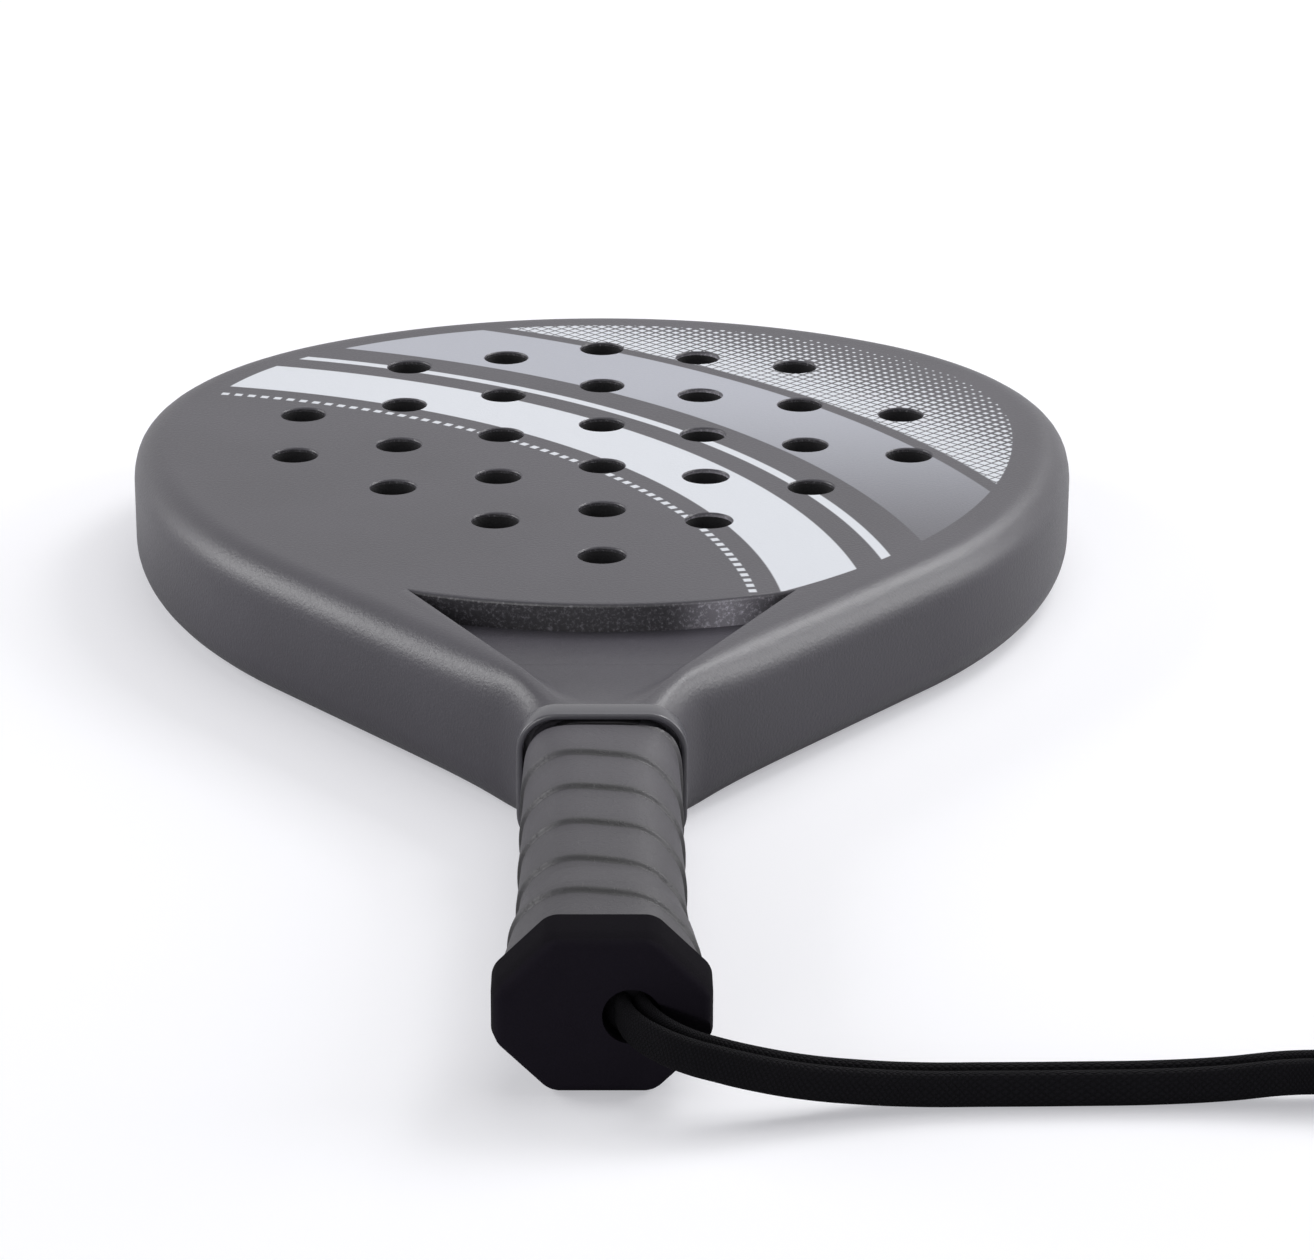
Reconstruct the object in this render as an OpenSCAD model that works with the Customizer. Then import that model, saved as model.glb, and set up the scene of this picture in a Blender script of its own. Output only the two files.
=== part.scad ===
// Padel racket lying flat: handle towards -Y, head towards +Y, hitting face up.
// The origin is under the middle of the racket's length, on the surface it rests on.

/* [Head] */
// Overall length from the butt to the tip
racket_length = 455; // [440:1:470]
// Widest part of the head
head_width = 260; // [250:1:270]
// Thickness of the head, from face to face
head_thick = 36; // [34:0.5:38]
// Radius of the outline across the tip
tip_radius = 150; // [145:1:155]
// Half angle of the tip arc
tip_angle = 35; // [33:1:37]

/* [Frame tube] */
// Width of the tube, from the outer wall to the core
tube_width = 19; // [17:0.5:21]
// Wall of the tube
tube_wall = 1.6; // [1.3:0.1:2.2]
// Rounding of the tube's outer edges
tube_edge = 10; // [8:0.5:11]
// Rounding of the arms' inner edges beside the recess
arm_edge = 3; // [2:0.5:4]
// Width of the tube that the face sheets lap over
lap_width = 8; // [6:0.5:8.5]

/* [Throat] */
// Length of each straight arm, from the head's curve to the neck
arm_reach = 107; // [104:1:110]
// Length of arm that borders the face
arm_beside_face = 37; // [33:1:41]
// Radius of the face's curved edge at the throat
throat_radius = 122; // [110:1:150]
// Depth of the throat recess below each face
recess_depth = 7.5; // [6:0.5:9]
// Width of the recess where it runs out at the collar
recess_end = 15; // [12:1:18]
// Length of the ramp from the recess floor up to the collar
ramp_length = 43; // [38:1:46]
// Length of the hollow in each arm below the face
arm_hollow = 40; // [30:1:45]
// Radius where the arms run into the neck
neck_fillet = 30; // [26:1:32]
// Distance from the collar up to where the arms meet the neck
neck_run = 10; // [8:1:12]

/* [Faces and core] */
// Thickness of the face sheets
skin_thick = 1.2; // [0.8:0.1:1.6]
// Diameter of the air holes
hole_diameter = 12.5; // [9:0.1:13]
// Distance between columns of holes
hole_pitch_x = 28; // [26:0.5:29]
// Distance between rows of holes
hole_pitch_y = 36; // [33:0.5:37]
// Distance of the lowest hole from the face's edge
hole_margin = 36; // [32:0.5:40]
// Least distance from a hole's centre to the core's edge
hole_rim = 16; // [14:1:18]

/* [Handle] */
// Width of the shaft
shaft_width = 33.6; // [32:0.2:34]
// Height of the shaft
shaft_height = 28.4; // [27:0.2:29]
// Corner cut of the shaft
shaft_cut = 7.5; // [6:0.5:8]
// Wall of the shaft
shaft_wall = 2.2; // [1.6:0.1:3]
// Length from the butt to the collar ring
handle_length = 127; // [120:1:132]
// Thickness of the grip wrap
grip_thick = 2.3; // [1.8:0.1:2.5]
// Advance of the grip wrap in one turn
grip_pitch = 20.2; // [18:0.2:24]
// Height of the step where one turn laps the next
grip_step = 0.7; // [0.4:0.1:1]
// Thickness of the grip's thinned end under the collar ring
grip_end = 1.2; // [1:0.1:1.3]
// Length over which the grip gets thinner, and flares on to the cap's skirt
grip_flare = 6; // [4:0.5:8]

/* [Collar] */
// Width of the neck where the collar sits
neck_width = 37; // [36:0.2:38]
// Height of the neck where the collar sits
neck_height = 31.8; // [31:0.2:32.4]
// Length of the collar ring
collar_length = 7; // [6:0.5:9]
// Wall of the collar ring
collar_wall = 1.5; // [1:0.1:1.7]
// Corner radius of the neck inside the collar ring
neck_corner = 8; // [6:0.5:10]
// Length of the neck's taper down to the collar
neck_taper = 24; // [18:1:30]
// Thickness of the finishing tape
tape_thick = 0.3; // [0.2:0.05:0.4]
// Length of tape that shows below the collar
tape_shown = 1; // [0.5:0.5:3]

/* [Butt cap] */
// Width of the cap's rim
cap_width = 46.5; // [45:0.5:48]
// Corner cut of the cap's rim
cap_cut = 12; // [10:0.5:12.5]
// Length of the cap's visible head
cap_head = 15; // [13:0.5:17]
// Length of the sloping front edge
cap_slope = 8.5; // [6:0.5:10]
// Drop of the sloping front edge
cap_drop = 2; // [1:0.2:3]
// Length of the skirt round the shaft
cap_skirt = 16; // [12:0.5:18]
// Thickness of the skirt's tail
cap_skirt_wall = 1; // [0.8:0.1:1.4]
// Thickness of the cap's front wall
cap_front = 4; // [3:0.5:5]
// Depth of the knot chamber behind the front wall
knot_chamber = 11; // [10:0.5:12]
// Diameter of the cord hole
cord_hole_diameter = 12.4; // [12:0.2:13]
// Sideways place of the cord hole
cord_hole_x = 6.2; // [5:0.1:7]
// Width of the trough that leads the cord out of the hole
trough_width = 11; // [10:0.5:12]
// Wall left between the trough and the knot chamber
trough_wall = 1.2; // [1:0.1:2]

/* [Wrist cord] */
// Width of the flat cord, which stands on its edge
cord_width = 8; // [7.6:0.1:8.2]
// Thickness of the flat cord
cord_thick = 3.2; // [2.8:0.1:3.4]
// Length of the slider on the cord
slider_length = 12; // [10:0.5:16]
// Wall of the slider
slider_wall = 1.6; // [1.2:0.1:1.8]
// Distance of the slider from where the strands run side by side
slider_start = 4; // [2:0.5:8]

/* [Hidden] */
$fn = 96;
eps = 0.01;
fit_gap = 0.1;
slide_gap = 0.5;
seam_step = 0.05;
seam_lap = 1;
half_thick = head_thick / 2;
butt_y = -racket_length / 2;
tip_y = racket_length / 2;
collar_y = butt_y + handle_length;
collar_top_y = collar_y + collar_length;

// Outline of the head: arcs that run into each other, then the straight arms. The arms' angle and
// the radius above them follow from the room between the widest point and the neck.
shoulder_radius = (head_width / 2 - tip_radius * sin(tip_angle)) / (1 - sin(tip_angle));
tip_centre = [0, tip_y - tip_radius];
shoulder_centre = tip_centre + (tip_radius - shoulder_radius) * [sin(tip_angle), cos(tip_angle)];
neck_half = neck_width / 2;
flank_width = head_width / 2 - neck_half;
flank_drop = shoulder_centre[1] - collar_top_y - neck_run;
arm_angle = 2 * atan(flank_width / (flank_drop + arm_reach));
flank_radius = (flank_width - arm_reach * sin(arm_angle)) / (1 - cos(arm_angle));
flank_centre = [head_width / 2 - flank_radius, shoulder_centre[1]];
arm_start = flank_centre + flank_radius * [cos(arm_angle), -sin(arm_angle)];
arm_along = [-sin(arm_angle), -cos(arm_angle)];
arm_out = [cos(arm_angle), -sin(arm_angle)];
arm_length = arm_reach - neck_fillet * tan(arm_angle / 2);
fillet_centre = arm_start + arm_length * arm_along + neck_fillet * arm_out;

// Levels of the faces and of the recess floor
face_low = head_thick - skin_thick;
bore_edge = tube_edge - 2 * tube_wall;
floor_top = head_thick - recess_depth;

// Throat: the face ends in an arc between two corners on the arms' inner sides
throat_corner = arm_start + arm_beside_face * arm_along - tube_width * arm_out;
throat_half_angle = asin(throat_corner[0] / throat_radius);
throat_centre = throat_corner - throat_radius * [sin(throat_half_angle), -cos(throat_half_angle)];
face_edge_y = throat_centre[1] - throat_radius;
apex_y = throat_corner[1] - throat_corner[0] / tan(arm_angle);

// Recess: its sides run straight from the face's corners to the collar
recess_corner = [recess_end / 2, collar_top_y];
recess_along = (recess_corner - throat_corner) / norm(recess_corner - throat_corner);
recess_out = [-recess_along[1], recess_along[0]];
ramp_y = collar_top_y + ramp_length;

// Handle, from the collar down to the butt
grip_top_y = collar_y + collar_length / 2;
tape_y = collar_y - tape_shown;
taper_y = collar_top_y + neck_taper;
rim_y = butt_y + cap_head;
chamber_y = butt_y + cap_front;
shaft_end_y = chamber_y + knot_chamber;
skirt_tail_y = rim_y + cap_skirt;

// Air holes: each column starts one row higher than the one before and is set back by a quarter
// of a row, and it runs up for as long as its holes keep clear of the core's edge
hole_y0 = face_edge_y + hole_margin;
hole_columns = floor((head_width / 2 - tube_width) / hole_pitch_x);
hole_rows = floor(racket_length / hole_pitch_y);
hole_places = [for (i = [-hole_columns:hole_columns], j = [abs(i):hole_rows])
    let (p = [i * hole_pitch_x, hole_y0 + (j - abs(i) / 4) * hole_pitch_y])
    if (depth_inside(p, face_outline(tube_width, 0)) > hole_rim) p];

// Cord: one strand out, the loop, and the other strand back beside the first.
// Each point is across from the hole, out from the butt, and a height in percent,
// from lying on the floor to the height of the hole.
cord_out = [[-2, 10, 100], [-2, 5.5, 100], [-1.4, 0.5, 99], [1, -4.9, 95], [5.4, -9.1, 88],
    [11.2, -11.3, 77], [17.8, -11.9, 65], [25.8, -11.4, 49], [35.8, -9.9, 31], [48, -7.7, 15],
    [60, -5.9, 5], [74, -4.7, 1], [92, -4.1, 0], [110, -3.7, 1], [124, -3.5, 6], [136, -3.5, 15],
    [144, -3.5, 17], [158, -3.5, 17], [172, -3.5, 17], [186, -3.5, 16]];
cord_turn = [[198, -5, 12], [208, -9.6, 6], [218, -16, 2], [229, -21.8, 0], [241, -24.5, 0],
    [253, -22, 0], [261.4, -13.4, 0], [264.4, -1.5, 0], [261.4, 10.4, 0], [253, 19, 0],
    [241, 21.5, 0], [229, 18.8, 0], [218, 13, 2], [208, 6.6, 6], [198, 2, 12]];
cord_back = [[186, 0.5, 16], [172, 0.5, 17], [158, 0.5, 17], [144, 0.5, 17], [136, 0.5, 15],
    [124, 0.5, 6], [110, 0.3, 1], [92, -0.1, 0], [74, -0.7, 1], [60, -1.9, 5], [48, -3.7, 15],
    [35.8, -5.9, 31], [25.8, -7.4, 49], [17.8, -7.9, 65], [11.8, -7.3, 77], [7.2, -5.3, 88],
    [4.2, -2.1, 95], [2.5, 1.5, 99], [2, 5.5, 100], [2, 10, 100]];
cord_pair = 4;
cord_exit_z = half_thick + 0.5;
cord_low_z = cord_width / 2 + fit_gap;
cord_route = [for (p = concat(cord_out, cord_turn, cord_back)) [cord_hole_x + p[0],
    butt_y + p[1], cord_low_z + (cord_exit_z - cord_low_z) * p[2] / 100]];
slider_place = cord_route[16] + [slider_start, cord_pair / 2, 0];
knot_tilt = 24;
trough_fall = 110;
corner_power = 14;
grip_sides = 40;
knot_y = chamber_y + cord_pair * sin(knot_tilt) + cord_thick;

// ---- Outline ----

// Points of an arc about c, from angle a0 to a1, leaving out those before the first wanted one
function arc(c, r, a0, a1, n, first = 0) = [for (k = [first:n])
    let (a = a0 + (a1 - a0) * k / n) c + r * [cos(a), sin(a)]];

// Right half of the head's outline from the tip down to the throat, inset by d
function half_outline(d) = concat(
    arc(tip_centre, tip_radius - d, 90, 90 - tip_angle, 14),
    arc(shoulder_centre, shoulder_radius - d, 90 - tip_angle, 0, 20, 1),
    arc(flank_centre, flank_radius - d, 0, -arm_angle, 16, 1),
    [arm_start + arm_beside_face * arm_along - d * arm_out]);

// The same half mirrored, from the throat up to just before the tip
function mirrored(points) = [for (k = [len(points) - 1:-1:1]) [-points[k][0], points[k][1]]];

// Edge of the face at the throat, from right to left, inset by d
function throat_arc(d) = arc(throat_centre, throat_radius - d,
    -90 + throat_half_angle, -90 - throat_half_angle, 24);

function reversed(points) = [for (k = [len(points) - 1:-1:0]) points[k]];

function face_outline(d, throat_inset) = concat(
    mirrored(half_outline(d)), half_outline(d), throat_arc(throat_inset));

// Distance of p from the nearest side of an outline that bulges everywhere, less than 0 outside it
function depth_inside(p, points) = min([for (k = [0:len(points) - 1])
    let (a = points[k], side = points[(k + 1) % len(points)] - a)
    if (norm(side) > eps) -cross(side, p - a) / norm(side)]);

// Half the width between the arms at a given y below the throat's corners
function between_arms(y) = (y - apex_y) * tan(arm_angle);

// ---- Shared shapes ----

// Runs a section along Y about the racket's middle height
module along_y(y0, y1) {
    translate([0, y0, half_thick]) rotate([-90, 0, 0]) linear_extrude(height = y1 - y0) children();
}

// Runs a side view, drawn as y and z, across the racket
module across(width) {
    translate([-width / 2, 0, 0]) rotate([90, 0, 90]) linear_extrude(height = width) children();
}

module both_sides() {
    children();
    mirror([1, 0, 0]) children();
}

// Mirrors its children to the underside as well
module both_faces() {
    children();
    translate([0, 0, head_thick]) mirror([0, 0, 1]) children();
}

function octagon_diagonal(w, h, cut) = (w / 2 + h / 2 - cut) / sqrt(2);

module octagon(w, h, cut) {
    x = w / 2;
    y = h / 2;
    polygon([[x - cut, y], [x, y - cut], [x, cut - y], [x - cut, -y],
        [cut - x, -y], [-x, cut - y], [-x, y - cut], [cut - x, y]]);
}

module rounded_rect(w, h, r) {
    square([w - 2 * r, h], center = true);
    square([w, h - 2 * r], center = true);
    for (sx = [-1, 1], sy = [-1, 1])
        translate([sx * (w / 2 - r), sy * (h / 2 - r)]) circle(r);
}

// Section of the shaft, inset from its outside
module shaft_section(inset) {
    octagon(shaft_width - 2 * inset, shaft_height - 2 * inset, shaft_cut - inset * (2 - sqrt(2)));
}

// Takes the sharp corner off at the origin
module corner_cut(r) {
    difference() {
        translate([-eps, -eps]) square(r + eps);
        translate([r, r]) circle(r);
    }
}

// Section of the tube: x is the distance in from its outer wall and y the height
module tube_section(lap, inset = 0) {
    w = tube_width - 2 * inset;
    h = head_thick - 2 * inset;
    translate([inset, inset]) difference() {
        square([w, h]);
        for (s = [0, 1]) translate([0, s * h]) mirror([0, s]) {
            corner_cut(tube_edge - inset);
            if (lap > 0) translate([w - lap, -eps]) square([lap + eps, skin_thick + eps]);
        }
    }
}

module tube_bore(inset = 0) {
    w = tube_width - 2 * (tube_wall + inset);
    h = head_thick - 2 * (tube_wall + skin_thick + inset);
    translate([tube_width / 2, half_thick]) rounded_rect(w, h, bore_edge - inset);
}

// Sweeps a section round an arc, with its outer wall outside the bend, or inside when flipped
module sweep_arc(c, r, a0, a1, flipped = false) {
    translate([c[0], c[1], 0]) rotate([0, 0, a0])
        rotate_extrude(angle = a1 - a0) translate([r, 0]) mirror([flipped ? 0 : 1, 0]) children();
}

// Runs a section down the right arm from one station to another
module sweep_arm(s0, s1) {
    start = arm_start + s0 * arm_along;
    translate([start[0], start[1], 0]) rotate([90, 0, -arm_angle])
        linear_extrude(height = s1 - s0) mirror([1, 0]) children();
}

// Parts of the hoop that carry the full section
module hoop_bends() {
    sweep_arc(tip_centre, tip_radius, 90 - tip_angle, 90 + tip_angle) children();
    both_sides() sweep_arc(flank_centre, flank_radius, -arm_angle, 0) children();
}

// Parts between them, whose slightly smaller section runs on into the bends
module hoop_links() {
    turn = seam_lap / shoulder_radius * 180 / PI;
    both_sides() {
        sweep_arc(shoulder_centre, shoulder_radius, -turn, 90 - tip_angle + turn) children();
        sweep_arm(-seam_lap, arm_beside_face + seam_lap) children();
    }
}

// Arms below the face, and the fillets that turn them into the neck
module lower_arms() {
    turn = seam_lap / neck_fillet * 180 / PI;
    both_sides() {
        sweep_arm(arm_beside_face, arm_length) tube_section(0);
        sweep_arc(fillet_centre, neck_fillet, 180 - arm_angle - turn, 180, true)
            tube_section(0, seam_step);
    }
}

// What the neck's taper takes off above and below
module taper_cut() {
    low = half_thick - neck_height / 2;
    both_faces() across(head_width) polygon([[taper_y, head_thick], [collar_top_y, head_thick - low],
        [collar_top_y - neck_taper, head_thick - low], [collar_top_y - neck_taper, head_thick + low]]);
}

// Web between the arms, from the foot of the bridge to the collar
module web() {
    top = between_arms(ramp_y) + tube_wall;
    foot = neck_half / 3;
    linear_extrude(height = head_thick) polygon([[-top, ramp_y], [top, ramp_y],
        [foot, collar_top_y], [-foot, collar_top_y]]);
}

// What the recess takes off above its floor, which rises to the collar along the ramp
module recess() {
    end = recess_corner + seam_lap * recess_along;
    intersection() {
        linear_extrude(height = head_thick + 1) polygon([throat_corner, end, [-end[0], end[1]],
            [-throat_corner[0], throat_corner[1]]]);
        across(head_width) polygon([[throat_corner[1] + 1, floor_top], [ramp_y, floor_top],
            [collar_top_y, half_thick + neck_height / 2], [end[1] - 1, head_thick + 2],
            [throat_corner[1] + 1, head_thick + 2]]);
    }
}

// Rounding of an arm's edge along the side of the recess
module recess_edge() {
    translate([throat_corner[0], throat_corner[1], head_thick])
        rotate([0, 0, atan2(recess_along[1], recess_along[0])]) rotate([90, 0, 90])
            linear_extrude(height = norm(recess_corner - throat_corner) + seam_lap)
                mirror([0, 1]) corner_cut(arm_edge);
}

// Hollow of an arm below the face, which keeps a wall to the recess
module arm_bore() {
    inner = throat_corner + tube_wall * recess_out;
    end = recess_corner + tube_wall * recess_out;
    intersection() {
        sweep_arm(arm_beside_face, arm_beside_face + arm_hollow) tube_bore();
        linear_extrude(height = head_thick) polygon([inner - tube_width * recess_along, end,
            end + head_width * recess_out, inner + head_width * recess_out]);
    }
}

module air_holes() {
    for (p = hole_places) translate([p[0], p[1], -1])
        cylinder(d = hole_diameter, h = head_thick + 2, $fn = 32);
}

// ---- Frame ----

// Hollow hoop whose arms run together into the neck, and the shaft with its middle web
module frame_tube() {
    color("#6b686e") difference() {
        union() {
            hoop_bends() tube_section(lap_width);
            hoop_links() tube_section(lap_width, seam_step);
            difference() {
                union() {
                    lower_arms();
                    web();
                }
                taper_cut();
                translate([-neck_width, collar_top_y - neck_taper, -1])
                    cube([2 * neck_width, neck_taper, head_thick + 2]);
            }
            along_y(grip_top_y, collar_top_y + 1) rounded_rect(neck_width, neck_height, neck_corner);
            along_y(shaft_end_y, grip_top_y + 1) shaft_section(0);
        }
        hoop_bends() tube_bore();
        hoop_links() tube_bore(seam_step);
        both_sides() arm_bore();
        both_faces() recess();
        both_faces() both_sides() recess_edge();
        along_y(shaft_end_y - 1, grip_top_y) difference() {
            shaft_section(shaft_wall);
            square([shaft_wall, shaft_height], center = true);
        }
    }
}

// ---- Core, faces and bridge ----

module eva_core() {
    color("#1d1c20") difference() {
        translate([0, 0, skin_thick]) linear_extrude(height = head_thick - 2 * skin_thick)
            polygon(face_outline(tube_width, skin_thick));
        air_holes();
    }
}

// Face sheet with its lip turned down at the throat
module face_skin() {
    difference() {
        union() {
            translate([0, 0, face_low]) linear_extrude(height = skin_thick)
                polygon(face_outline(tube_width - lap_width, 0));
            translate([0, 0, floor_top]) linear_extrude(height = recess_depth)
                polygon(concat(throat_arc(0), reversed(throat_arc(skin_thick))));
        }
        air_holes();
    }
}

module face_skin_top() { color("#6f6c72") face_skin(); }

module face_skin_bottom() {
    color("#6f6c72") translate([0, 0, head_thick]) mirror([0, 0, 1]) face_skin();
}

module bridge_plate(z0, z1) {
    corner = throat_corner[0];
    foot = between_arms(ramp_y);
    translate([0, 0, z0]) linear_extrude(height = z1 - z0) polygon(concat(
        [throat_corner], throat_arc(skin_thick), [[-corner, throat_corner[1]]],
        [[-foot, ramp_y], [foot, ramp_y]]));
}

module bridge_core() {
    color("#1d1c20") bridge_plate(recess_depth + skin_thick, floor_top - skin_thick);
}

module bridge_skin_top() { color("#68656b") bridge_plate(floor_top - skin_thick, floor_top); }

module bridge_skin_bottom() { color("#68656b") bridge_plate(recess_depth, recess_depth + skin_thick); }

// ---- Handle ----

// Foam in the shaft's two cells
module handle_foam() {
    color("#1d1c20") along_y(shaft_end_y, grip_top_y) difference() {
        shaft_section(shaft_wall);
        square([shaft_wall, shaft_height], center = true);
    }
}

// Side view of the cap in one direction: distance from the axis against y
module cap_slab(angle, rim, shaft) {
    side = [[shaft + cap_skirt_wall, skirt_tail_y], [rim - grip_thick, rim_y], [rim, rim_y],
        [rim, butt_y + cap_slope], [rim - cap_drop, butt_y]];
    translate([0, 0, half_thick]) rotate([0, angle, 0]) linear_extrude(height = 2 * cap_width, center = true)
        polygon(concat(side, [for (k = [len(side) - 1:-1:0]) [-side[k][0], side[k][1]]]));
}

// Eight-sided cap: the common part of four slabs
module cap_form() {
    diagonal = octagon_diagonal(cap_width, head_thick, cap_cut);
    shaft_diagonal = octagon_diagonal(shaft_width, shaft_height, shaft_cut);
    intersection() {
        cap_slab(0, cap_width / 2, shaft_width / 2);
        cap_slab(90, half_thick, shaft_height / 2);
        cap_slab(45, diagonal, shaft_diagonal);
        cap_slab(-45, diagonal, shaft_diagonal);
    }
}

// Trough in the cap's face that leads the cord out to the side and down
module cord_trough() {
    axis_y = chamber_y - trough_wall - trough_width / 2;
    translate([cord_hole_x, axis_y, cord_exit_z]) rotate([0, trough_fall, 0])
        cylinder(d = trough_width, h = cap_width);
}

module butt_cap() {
    color("#1a181d") difference() {
        cap_form();
        along_y(shaft_end_y, skirt_tail_y + 1) shaft_section(-fit_gap);
        along_y(chamber_y, shaft_end_y + eps) shaft_section(shaft_wall);
        translate([cord_hole_x, chamber_y + 1, cord_exit_z]) rotate([90, 0, 0])
            cylinder(d = cord_hole_diameter, h = cap_front + 2);
        cord_trough();
    }
}

// Distance of the grip's outside from the axis, square to a flat that is shaft away from it
function grip_reach(y, shaft, rim) = shaft + lookup(y, [[rim_y, rim - shaft - fit_gap],
    [skirt_tail_y, grip_thick + cap_skirt_wall], [skirt_tail_y + grip_flare, grip_thick],
    [tape_y - grip_flare / 2, grip_thick], [tape_y, grip_end]]);

// Distance from the axis at angle a to an octagon with soft corners, from the distances of its flats
function soft_octagon(a, side, top, corner) = pow(pow(abs(cos(a)) / side, corner_power)
    + pow(abs(sin(a)) / top, corner_power) + pow(abs(cos(a - 45)) / corner, corner_power)
    + pow(abs(cos(a + 45)) / corner, corner_power), -1 / corner_power);

// Distance from the axis to the outside of the grip, without the steps of the wrap
function grip_radius(y, a) = soft_octagon(a, grip_reach(y, shaft_width / 2, cap_width / 2),
    grip_reach(y, shaft_height / 2, half_thick),
    grip_reach(y, octagon_diagonal(shaft_width, shaft_height, shaft_cut),
        octagon_diagonal(cap_width, head_thick, cap_cut)));

// Distance from the axis to the wrap's surface, stepping down where a turn ends
function wrap_radius(y, a) =
    let (lapped = (grip_top_y - y) / grip_pitch + a / 360)
    grip_radius(y, a) - grip_step * (1 - lapped + floor(lapped));

// Closed skin through rings of points, all with the same count
module ring_skin(rings) {
    n = len(rings[0]);
    last = len(rings) - 1;
    polyhedron(
        points = [for (ring = rings) each ring],
        faces = concat(
            [for (i = [0:last - 1], k = [0:n - 1])
                [i * n + k, i * n + (k + 1) % n, (i + 1) * n + (k + 1) % n, (i + 1) * n + k]],
            [[for (k = [n - 1:-1:0]) k], [for (k = [0:n - 1]) last * n + k]]));
}

// Spiral wrap over the shaft and the cap's skirt
module base_grip() {
    rings = 41;
    step = (tape_y - rim_y) / rings;
    ring_places = concat([for (i = [0:rings]) rim_y + i * step], [grip_top_y]);
    color("#625f66") difference() {
        ring_skin([for (y = ring_places) [for (k = [0:grip_sides - 1])
            let (a = 360 * k / grip_sides, r = wrap_radius(y, a))
            [r * cos(a), y, half_thick + r * sin(a)]]]);
        along_y(rim_y - 1, grip_top_y + 1) shaft_section(0);
        translate([0, fit_gap, 0]) cap_form();
    }
}

// Outline of the grip at its top end, with a given thickness added
module grip_outline(added) {
    polygon([for (k = [0:grip_sides - 1]) let (a = 360 * k / grip_sides)
        (grip_radius(grip_top_y, a) + added) * [cos(a), sin(a)]]);
}

module finishing_tape() {
    color("#141216") along_y(tape_y, grip_top_y) difference() {
        grip_outline(tape_thick);
        grip_outline(0);
    }
}

module collar_ring() {
    color("#3b393f") along_y(collar_y, collar_top_y) difference() {
        rounded_rect(neck_width + 2 * (fit_gap + collar_wall), neck_height + 2 * (fit_gap + collar_wall),
            neck_corner + collar_wall);
        rounded_rect(neck_width + 2 * fit_gap, neck_height + 2 * fit_gap, neck_corner);
    }
}

// ---- Wrist cord ----

function unit(v) = v / norm(v);

// Ring of the flat cord's section at point i, standing on its edge
function cord_ring(route, i) =
    let (ahead = route[min(i + 1, len(route) - 1)],
        behind = route[max(i - 1, 0)],
        along = unit(ahead - behind),
        across = unit(cross(along, [0, 0, 1])),
        up = cross(across, along),
        t = cord_thick / 2,
        w = cord_width / 2)
    [for (p = [[t, w - t], [t / 2, w], [-t / 2, w], [-t, w - t], [-t, t - w], [-t / 2, -w], [t / 2, -w],
        [t, t - w]]) route[i] + p[0] * across + p[1] * up];

module wrist_cord() {
    color("#1f1d22") ring_skin([for (i = [0:len(cord_route) - 1]) cord_ring(cord_route, i)]);
}

// Stopper knot behind the cap's front wall
module cord_knot() {
    color("#1f1d22") translate([cord_hole_x, knot_y, cord_exit_z]) for (tilt = [-knot_tilt, knot_tilt])
        rotate([90 + tilt, 0, 0]) rotate_extrude() translate([cord_pair, 0]) circle(cord_thick, $fn = 32);
}

// Slider that draws the loop tight: a short sleeve round both strands
module cord_slider() {
    hole_w = cord_pair + cord_thick + 2 * slide_gap;
    hole_h = cord_width + 2 * slide_gap;
    color("#26242a") translate(slider_place) rotate([90, 0, 90]) linear_extrude(height = slider_length)
        difference() {
            rounded_rect(hole_w + 2 * slider_wall, hole_h + 2 * slider_wall, cord_thick);
            square([hole_w, hole_h], center = true);
        }
}

frame_tube();
eva_core();
face_skin_top();
face_skin_bottom();
bridge_core();
bridge_skin_top();
bridge_skin_bottom();
handle_foam();
butt_cap();
base_grip();
finishing_tape();
collar_ring();
wrist_cord();
cord_knot();
cord_slider();
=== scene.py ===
"""Finishes, grip wrap, wrist cord and studio for a padel racket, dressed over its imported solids."""
import math
import bmesh
import bpy
from bpy.props import FloatProperty, FloatVectorProperty, PointerProperty
from mathutils import Euler, Matrix, Vector


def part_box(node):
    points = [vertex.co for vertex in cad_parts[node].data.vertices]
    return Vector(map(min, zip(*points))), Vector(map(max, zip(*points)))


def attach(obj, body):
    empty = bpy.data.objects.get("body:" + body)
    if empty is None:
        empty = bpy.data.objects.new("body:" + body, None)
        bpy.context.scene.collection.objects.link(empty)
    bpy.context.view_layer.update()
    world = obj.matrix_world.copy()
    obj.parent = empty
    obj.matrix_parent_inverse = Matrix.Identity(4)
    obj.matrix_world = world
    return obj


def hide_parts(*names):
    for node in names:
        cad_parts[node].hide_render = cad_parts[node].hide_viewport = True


bl_info = {
    "name": "Padel Racket",
    "version": (1, 0, 0),
    "blender": (4, 5, 0),
    "location": "3D View > Sidebar > Racket",
    "description": "Finishes, grip wrap, wrist cord and studio for a padel racket",
    "category": "Object",
}

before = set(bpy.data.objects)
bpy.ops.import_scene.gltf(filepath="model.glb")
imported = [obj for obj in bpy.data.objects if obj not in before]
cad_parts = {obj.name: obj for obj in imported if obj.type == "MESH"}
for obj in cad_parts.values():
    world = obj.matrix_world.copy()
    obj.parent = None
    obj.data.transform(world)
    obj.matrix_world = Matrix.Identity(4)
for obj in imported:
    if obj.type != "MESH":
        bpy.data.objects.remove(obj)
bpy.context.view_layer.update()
MM = 0.001
BODY = "racket"
WELD = 0.002 * MM   # points nearer to each other than this are one point
TUCK = 0.01 * MM    # depth of a covered surface below the one that covers it
OVERLAP = 0.5 * MM  # how far a covered surface runs on under the one that covers it
NEAR = 0.1 * MM     # how far from a line or a level an edge may lie and still count as on it
NECK_TAIL = 2 * MM  # how far the neck runs on inside the collar


# ---- Sizes and colours that a user would change ----

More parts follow.
